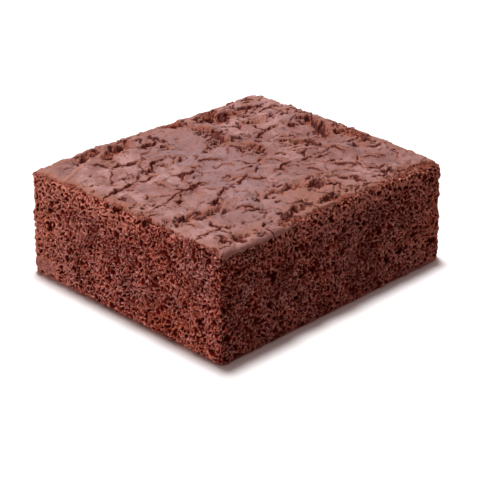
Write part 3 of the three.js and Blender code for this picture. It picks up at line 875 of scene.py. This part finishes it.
def crust_relief(x, y, cell, from_stop):
    """Height added to the crust, and its layers."""
    shape = x.shape
    bent_x, bent_y = bent(x, y, cell, PLATE_STRAY)
    edge, place_x, place_y, number = plates(bent_x, bent_y, PLATE_SIZE, seed=5)
    lift, slope_x, slope_y, tone = plate_draws(number, seed=6, count=4)
    plate = PLATE_STEP * lift + PLATE_TILT * (slope_x * place_x + slope_y * place_y)

    chip_x = x + CHIP_STRAY * (bent_y - y)
    chip_y = y - CHIP_STRAY * (bent_x - x)
    chip_edge, place_x, place_y, number = plates(chip_x, chip_y, CHIP_SIZE, seed=7)
    lift, slope_x, slope_y, chip_tone = plate_draws(number, seed=8, count=4)
    broken = patchy(shape, cell, *CHIPPED)
    chip = broken * (CHIP_STEP * lift + CHIP_TILT * (slope_x * place_x + slope_y * place_y))

    gape = patchy(shape, cell, *JOINTS_OPEN)
    crack, curl, light, brown = crust_cracks(x, y, cell, gape, edge)
    chip_gape = CHIP_JOINT_DEPTH * patchy(shape, cell, *CHIPS_OPEN)
    crack = np.maximum(crack, chip_gape * smooth_step(CHIP_JOINT, JOINT_FLOOR, chip_edge))
    fold = smooth_step(*FOLD_WIDTH, near_line(x, y, FOLD)[0])
    bare, brink, holed = bare_share(x, y, cell, from_stop)
    hole = torn_holes(x, y, cell, holed)
    calm_edge = CALM_REACH + ripples(shape, cell, CALM_RIPPLES)
    calm = smooth_step(CALM_FADE, -CALM_FADE, near_line(x, y, CALM)[0] - calm_edge)
    # Painted highlight, partly a paler broken edge: beside cracks, along the fold's ridge and on patch
    # brinks.
    light = np.maximum.reduce([light, fold, BRINK_HIGHLIGHT * brink])

    undulation = ripples(shape, cell, UNDULATION)
    whole = plate + chip + curl + ripples(shape, cell, GRAIN) + FOLD_RISE * fold - CRACK_DEPTH * crack
    torn = torn_depth(x, y, cell)
    relief = undulation + whole * (1 - bare) - (PATCH_DEPTH + torn) * bare - HOLE_DEPTH * hole
    layers = {
        "bare": bare,
        "crack": np.maximum(crack * (1 - bare), hole),
        "light": light * (1 - crack) * (1 - bare) * (1 - hole),
        "brown": np.maximum(brown, brink),
        "calm": calm,
        "tone": between(tone, broken * chip_tone, CHIP_TONE) + zone_sum(TONE_ZONES, x, y),
        "depth": bare * torn,
    }
    return relief, layers


def crust_piece(material):
    """The crust: one skin over the crumb, whose edge rolls over the cut sides or is broken off short."""
    surplus = LIP_UNDER + LIP_RUN + CRUST_ARC - CRUST_EDGE
    half_across = WIDTH / 2 + surplus
    half_along = DEPTH / 2 + surplus
    columns = 2 * int(half_across / CRUST_CELL) + 1
    rows = 2 * int(half_along / CRUST_CELL) + 1
    square_x, square_y = np.meshgrid(np.linspace(-1, 1, columns), np.linspace(-1, 1, rows))
    across, along = square_x * half_across, square_y * half_along
    travel = np.minimum(half_across - np.abs(across), half_along - np.abs(along))
    u = across / np.maximum(half_across - travel, 1e-9)
    v = along / np.maximum(half_along - travel, 1e-9)
    points, layers = crust_surface(u, v, travel)

    flat = np.concatenate([points.reshape(-1, 3), [[0, 0, CRUST_HUB]]])
    quads = grid_faces(rows, columns)
    fans = fan_faces(border_loop(rows, columns), rows * columns, True)
    layers = {name: np.append(values.reshape(-1), 0) for name, values in layers.items()}
    square = np.stack([square_x, square_y], axis=-1).reshape(-1, 2)
    uv = np.concatenate([0.5 + UV_HALF * square, [[0.5, 0.5]]])
    fan_uv = uv[fans] * FAN_UV + FAN_MARGIN
    return add_piece("crust", flat, quads, fans, uv[quads], fan_uv, layers, material)


def crust_surface(u, v, travel):
    """Points of the crust and its layers, at a distance, travel, along it from its hidden edge."""
    distance = around(u, v)
    inset, drop = crust_profile(travel, lip_length(distance))
    stop = crust_stop(distance)
    rolled = smooth_step(RIM_STOP, 0.0, stop)
    drawn = inset + (SIDE_LEAN + DRAWN_IN * (1 - rolled)) * smooth_step(DRAWN_REACH, 0.0, inset)
    x, y, out_x, out_y = plan_point(u, v, drawn)
    relief, layers = crust_relief(x, y, CRUST_CELL, inset - stop)

    rim_tan_and_light = smooth_step(*TAN_WIDTH, inset) * tan_and_light_share(distance)
    layers["tan_and_light"] = np.maximum(rim_tan_and_light, zone_sum(TAN_ZONES, x, y))
    pale_rim = smooth_step(*PALE_RIM, inset) * (1 - tan_and_light_share(distance))
    lip_brown = smooth_step(*LIP_BROWN, drop / CRUST_EDGE)
    layers["brown"] = np.maximum(layers["brown"] * (1 - pale_rim), lip_brown)
    drop = drop * between(BROKEN_DROP, 1, rolled)
    on_top = smooth_step(*RELIEF_DROP, drop / CRUST_EDGE)
    inner = np.maximum(smooth_step(0.0, RIM_REACH, inset), layers["bare"])
    relief *= on_top * between(RIM_RELIEF, 1, inner)
    z = np.minimum(crust_height(x, y) - drop + relief, box_high[2])
    skin = ripples(x.shape, CRUST_CELL, RIM_SKIN)
    return np.stack([x + out_x * skin, y + out_y * skin, z], axis=-1), layers


def border_loop(rows, columns):
    """Numbers of the points round the edge of a grid, in order and back to the first."""
    number = np.arange(rows * columns).reshape(rows, columns)
    return np.concatenate([number[0, :-1], number[:-1, -1], number[-1, :0:-1], number[::-1, 0]])


# -------- materials


class Nodes:
    """A material and short ways of adding nodes to it."""

    def __init__(self, name):
        self.material = bpy.data.materials.new(name)
        self.material.use_nodes = True
        self.tree = self.material.node_tree
        self.shader = self.tree.nodes["Principled BSDF"]
        self.place = self.add("ShaderNodeTexCoord", "Object", {})

    def feed(self, socket, value):
        """Links a socket's value, or sets it where it is a plain number or colour."""
        if isinstance(value, bpy.types.NodeSocket):
            self.tree.links.new(value, socket)
        else:
            socket.default_value = value

    def add(self, kind, output, inputs, **settings):
        """Adds a node; inputs gives the value of each of its inputs, by name or number."""
        node = self.tree.nodes.new(kind)
        for name, value in settings.items():
            setattr(node, name, value)
        for name, value in inputs.items():
            self.feed(node.inputs[name], value)
        return node.outputs[output]

    def layer(self, name):
        return self.add("ShaderNodeAttribute", "Fac", {}, attribute_name=name)

    def noise(self, size_mm, detail=3.0, roughness=0.55):
        """A cloudy field from 0 to 1 with features about size_mm across."""
        inputs = {"Vector": self.place, "Scale": 1 / (size_mm * MM)}
        inputs |= {"Detail": detail, "Roughness": roughness}
        return self.add("ShaderNodeTexNoise", "Fac", inputs)

    def ramp(self, value, low, high):
        """0 below low and 1 above high."""
        inputs = {"Value": value, "From Min": low, "From Max": high}
        return self.add("ShaderNodeMapRange", "Result", inputs, interpolation_type="SMOOTHSTEP")

    def scale(self, value, low, high):
        """Carries 0 to 1 over to low to high."""
        return self.add("ShaderNodeMapRange", "Result", {"Value": value, "To Min": low, "To Max": high})

    def times(self, a, b):
        return self.add("ShaderNodeMath", 0, {0: a, 1: b}, operation="MULTIPLY")

    def blend(self, share, a, b):
        """Colour a where share is 0 and b where it is 1; 6, 7 and 2 are the colour sockets."""
        return self.add("ShaderNodeMix", 2, {"Factor": share, 6: a, 7: b}, data_type="RGBA")

    def coat(self, under, over, share, strength):
        """Lays the colour over on the colour under."""
        return self.blend(self.times(share, strength), under, over)

    def clouds(self, under, over, noise, low, high, strength):
        """The same where a noise rises from low to high."""
        return self.coat(under, over, self.ramp(self.noise(*noise), low, high), strength)

    def bump(self, height, distance_mm, **normal):
        inputs = {"Height": height, "Distance": distance_mm * MM}
        return self.add("ShaderNodeBump", "Normal", {**inputs, **normal})

    def finish(self, **inputs):
        """The material, once its shader's inputs are given, named with _ for a space."""
        for name, value in inputs.items():
            self.feed(self.shader.inputs[name.replace("_", " ")], value)
        return self.material


def rgb(red, green, blue):
    """A colour as it looks on a screen, 0 to 255, in the numbers that a shader takes."""
    screen = np.array([red, green, blue]) / 255
    linear = np.where(screen <= 0.04045, screen / 12.92, ((screen + 0.055) / 1.055) ** 2.4)
    return (*linear.tolist(), 1.0)


CRUMB_WALL_AND_HIGHLIGHT = rgb(160, 104, 94)
CRUMB_MID = rgb(134, 54, 41)
CRUMB_PORE_SHADE = rgb(68, 8, 3)
CRUMB_HOLE_SHADE = rgb(36, 8, 4)
CRUMB_PAINTED_GLINT = rgb(214, 168, 154)
CRUMB_RUST = rgb(140, 58, 34)
CRUMB_GREY = rgb(134, 82, 76)
CRUMB_DARK = rgb(78, 22, 15)
TORN_WALL = rgb(120, 64, 48)
TORN_PORE_SHADE = rgb(56, 6, 2)
CRUMB_PRESSED = rgb(112, 70, 66)
CRUMB_UPTURN_SHADE = rgb(72, 28, 18)
CRUMB_TAN = rgb(182, 108, 90)
# The crust's pale mauve-grey is partly its own colour and partly painted sheen.
CRUST_PALE_AND_SHEEN = rgb(140, 104, 101)
CRUST_MID = rgb(104, 70, 67)
CRUST_WARM = rgb(112, 68, 56)
CRUST_GREY_AND_SHEEN = rgb(118, 91, 93)
CRUST_BROWN = rgb(94, 44, 30)
CRUST_TAN = rgb(116, 74, 63)
CRUST_EDGE_AND_HIGHLIGHT = rgb(150, 100, 84)
CRACK_CRUMB_AND_SHADE = rgb(64, 12, 7)

# Clouds in a colour: colour, the noise they follow, its levels where they begin and are full, strength.
CRUMB_CLOUDS = [
    (CRUMB_GREY, (8, 3), 0.52, 0.36, 0.6),
    (CRUMB_RUST, (8, 3), 0.5, 0.62, 0.4),
    (CRUMB_DARK, (6, 5), 0.47, 0.62, 0.7),
    (CRUMB_DARK, (2, 2), 0.5, 0.62, 0.5),
]
# Painted highlights: light specks that stand for glints on the crumb's walls.
CRUMB_PAINTED_GLINTS = (CRUMB_PAINTED_GLINT, (0.35, 2), 0.58, 0.66, 0.65)
CRUST_CLOUDS = (CRUST_WARM, (4.5, 5), 0.46, 0.7, 0.6)
CRUST_SPECKS = (CRUST_BROWN, (0.7, 3, 0.7), 0.54, 0.7, 0.8)


def crumb_colour(nodes):
    """Light walls, lighter still on their ridges by painted highlight and specked with painted glints,
    and pores darkened by painted shade; rustier in some places and darker in others.
    """
    colour = nodes.blend(nodes.ramp(nodes.noise(0.5), 0.45, 0.62), CRUMB_MID, CRUMB_WALL_AND_HIGHLIGHT)
    for cloud in CRUMB_CLOUDS:
        colour = nodes.clouds(colour, *cloud)
    depth = nodes.layer("depth")
    # Painted highlight: lighter on the ridges between the pores.
    colour = nodes.coat(colour, CRUMB_WALL_AND_HIGHLIGHT, nodes.ramp(depth, 0.1, -0.04), 0.8)
    rusty = nodes.times(nodes.layer("rust"), nodes.ramp(nodes.noise(1.6, 3), 0.36, 0.56))
    colour = nodes.coat(colour, CRUMB_RUST, rusty, 0.65)
    # Tan, partly painted light.
    colour = nodes.coat(colour, CRUMB_TAN, nodes.layer("tan_and_light"), 0.6)
    # Painted highlight specks.
    colour = nodes.clouds(colour, *CRUMB_PAINTED_GLINTS)
    # Painted shade: darker the deeper the pore, near black in the deepest holes.
    colour = nodes.blend(nodes.ramp(depth, 0.12, 0.42), colour, CRUMB_PORE_SHADE)
    colour = nodes.blend(nodes.ramp(depth, 0.5, 0.8), colour, CRUMB_HOLE_SHADE)
    # Painted shade: darker where the crumb turns up over its upper edge.
    upturn_shade = nodes.scale(nodes.noise(0.9), 0.35, 0.95)
    colour = nodes.coat(colour, CRUMB_UPTURN_SHADE, nodes.layer("upturn_shade"), upturn_shade)
    return nodes.coat(colour, CRUMB_PRESSED, nodes.layer("smear"), 0.6)


def crumb_material():
    nodes = Nodes("crumb")
    coarse = nodes.bump(nodes.noise(0.55, 4, 0.65), 0.35)
    return nodes.finish(
        Base_Color=crumb_colour(nodes),
        Roughness=nodes.scale(nodes.noise(0.8), 0.5, 0.8),
        Specular_IOR_Level=0.015,
        Normal=nodes.bump(nodes.noise(0.22, 2), 0.12, Normal=coarse),
    )


def crust_colour(nodes):
    """Mauve clouds, partly painted sheen, and brown ones; browner beside cracks and lighter there by
    painted highlight, painted shade in cracks and holes, and torn crumb in bare patches.
    """
    cloud = nodes.times(nodes.noise(6, 4), nodes.scale(nodes.layer("tone"), 0.5, 0.85))
    colour = nodes.blend(nodes.ramp(cloud, 0.15, 0.5), CRUST_MID, CRUST_PALE_AND_SHEEN)
    colour = nodes.clouds(colour, *CRUST_CLOUDS)
    # Painted sheen, in part: greyer along the smooth band.
    colour = nodes.coat(colour, CRUST_GREY_AND_SHEEN, nodes.layer("calm"), 0.5)
    colour = nodes.clouds(colour, *CRUST_SPECKS)
    brown = nodes.scale(nodes.noise(1.2, 4), 0.2, 1.2)
    colour = nodes.coat(colour, CRUST_BROWN, nodes.layer("brown"), brown)
    # Tan, partly painted light, at the rim and in zones.
    tan_and_light = nodes.scale(nodes.noise(1.5, 4), 0.0, 1.2)
    colour = nodes.coat(colour, CRUST_TAN, nodes.layer("tan_and_light"), tan_and_light)
    # Painted highlight, partly paler broken crust, on lifted lips, the fold's ridge and patch brinks.
    colour = nodes.coat(colour, CRUST_EDGE_AND_HIGHLIGHT, nodes.layer("light"), 0.5)
    # Painted shade: the bared crumb darkens with the depth of its pores.
    torn = nodes.blend(nodes.ramp(nodes.layer("depth"), 0.1, 0.5), TORN_WALL, TORN_PORE_SHADE)
    colour = nodes.blend(nodes.layer("bare"), colour, torn)
    # Painted shade over the dark crumb in the gaps: darker in the cracks and the small holes.
    return nodes.coat(colour, CRACK_CRUMB_AND_SHADE, nodes.ramp(nodes.layer("crack"), 0.05, 0.35), 0.92)


def crust_material():
    nodes = Nodes("crust")
    leather = nodes.bump(nodes.noise(0.7, 4, 0.6), 0.1)
    return nodes.finish(
        Base_Color=crust_colour(nodes),
        Roughness=nodes.scale(nodes.noise(2.5, 4), 0.42, 0.62),
        Specular_IOR_Level=0.1,
        Normal=nodes.bump(nodes.noise(0.25, 2), 0.03, Normal=leather),
    )


# -------- stage, light and camera

# The camera that fits the photograph: where it looks from, and how far off the middle it aims.
VIEW_AZIMUTH = -44.382
VIEW_ELEVATION = 24.403
VIEW_ROLL = -0.378
VIEW_DISTANCE = 356.8
VIEW_CENTRE = (0.0, 0.0, 13.5)
AIM_ACROSS = 0.461
AIM_UP = -6.148
LENS = 110.0
SENSOR = 36.0
CLIP_M = (0.01, 10.0)


def camera_axes(azimuth, elevation):
    """The ways to the camera, to its right and up, for angles in degrees."""
    a, e = np.radians(azimuth), np.radians(elevation)
    back = Vector((np.sin(a) * np.cos(e), -np.cos(a) * np.cos(e), np.sin(e)))
    right = Vector((np.cos(a), np.sin(a), 0))
    return back, right, back.cross(right)


def add_camera():
    back, right, up = camera_axes(VIEW_AZIMUTH, VIEW_ELEVATION)
    centre = Vector(VIEW_CENTRE)
    place = centre + back * VIEW_DISTANCE
    aim = centre + right * AIM_ACROSS + up * AIM_UP
    axis = (place - aim).normalized()
    level_right = Vector((0, 0, 1)).cross(axis).normalized()
    turn = Matrix.Rotation(np.radians(VIEW_ROLL), 3, axis)
    cam_right = turn @ level_right
    cam_up = axis.cross(cam_right)
    data = bpy.data.cameras.new("camera")
    data.lens = LENS
    data.sensor_width = SENSOR
    data.clip_start, data.clip_end = CLIP_M
    camera = bpy.data.objects.new("camera", data)
    facing = Matrix((cam_right, cam_up, axis)).transposed().to_4x4()
    camera.matrix_world = Matrix.Translation(place * MM) @ facing
    bpy.context.scene.collection.objects.link(camera)
    bpy.context.scene.camera = camera


FLOOR_SIZE_M = 6.0
FLOOR_COLOUR = (0.95, 0.95, 0.95, 1.0)


def add_floor():
    mesh = bpy.data.meshes.new("floor")
    half = FLOOR_SIZE_M / 2
    corners = [(-half, -half, 0), (half, -half, 0), (half, half, 0), (-half, half, 0)]
    mesh.from_pydata(corners, [], [(0, 1, 2, 3)])
    material = Nodes("floor").finish(Base_Color=FLOOR_COLOUR, Roughness=0.9, Specular_IOR_Level=0.1)
    mesh.materials.append(material)
    floor = bpy.data.objects.new("floor", mesh)
    bpy.context.scene.collection.objects.link(floor)


# Lights: azimuth and elevation they shine from, distance and size in metres, power in watts.
LIGHTS = {
    "key": (-118, 40, 1.0, 0.25, 11.8),
    "overhead": (152, 83, 1.0, 0.17, 10.1),
    "backdrop": (136, 24, 1.0, 1.0, 2.6),
}
SKY_STRENGTH = 0.265
SKY_COLOUR = (1.0, 0.74, 0.71, 1.0)


def add_lights(pieces):
    """Adds the lights; the key lights the food alone, so the floor keeps only a short shadow."""
    lit_by_key = bpy.data.collections.new("lit by key")
    for piece in pieces:
        lit_by_key.objects.link(piece)
    for name, (azimuth, elevation, distance, size, power) in LIGHTS.items():
        data = bpy.data.lights.new(name, "AREA")
        data.shape = "DISK"
        data.size = size
        data.energy = power
        back, _, _ = camera_axes(azimuth, elevation)
        light = bpy.data.objects.new(name, data)
        light.location = back * distance
        light.rotation_euler = back.to_track_quat("Z", "Y").to_euler()
        bpy.context.scene.collection.objects.link(light)
        if name == "key":
            light.light_linking.receiver_collection = lit_by_key


def add_sky():
    world = bpy.data.worlds.new("sky")
    world.use_nodes = True
    background = world.node_tree.nodes["Background"]
    background.inputs["Color"].default_value = SKY_COLOUR
    background.inputs["Strength"].default_value = SKY_STRENGTH
    bpy.context.scene.world = world


pieces = [*crumb_pieces(crumb_material()), crust_piece(crust_material())]
for piece in pieces:
    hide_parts(NODE)
add_floor()
add_lights(pieces)
add_sky()
add_camera()
bpy.context.scene.view_settings.view_transform = "Standard"
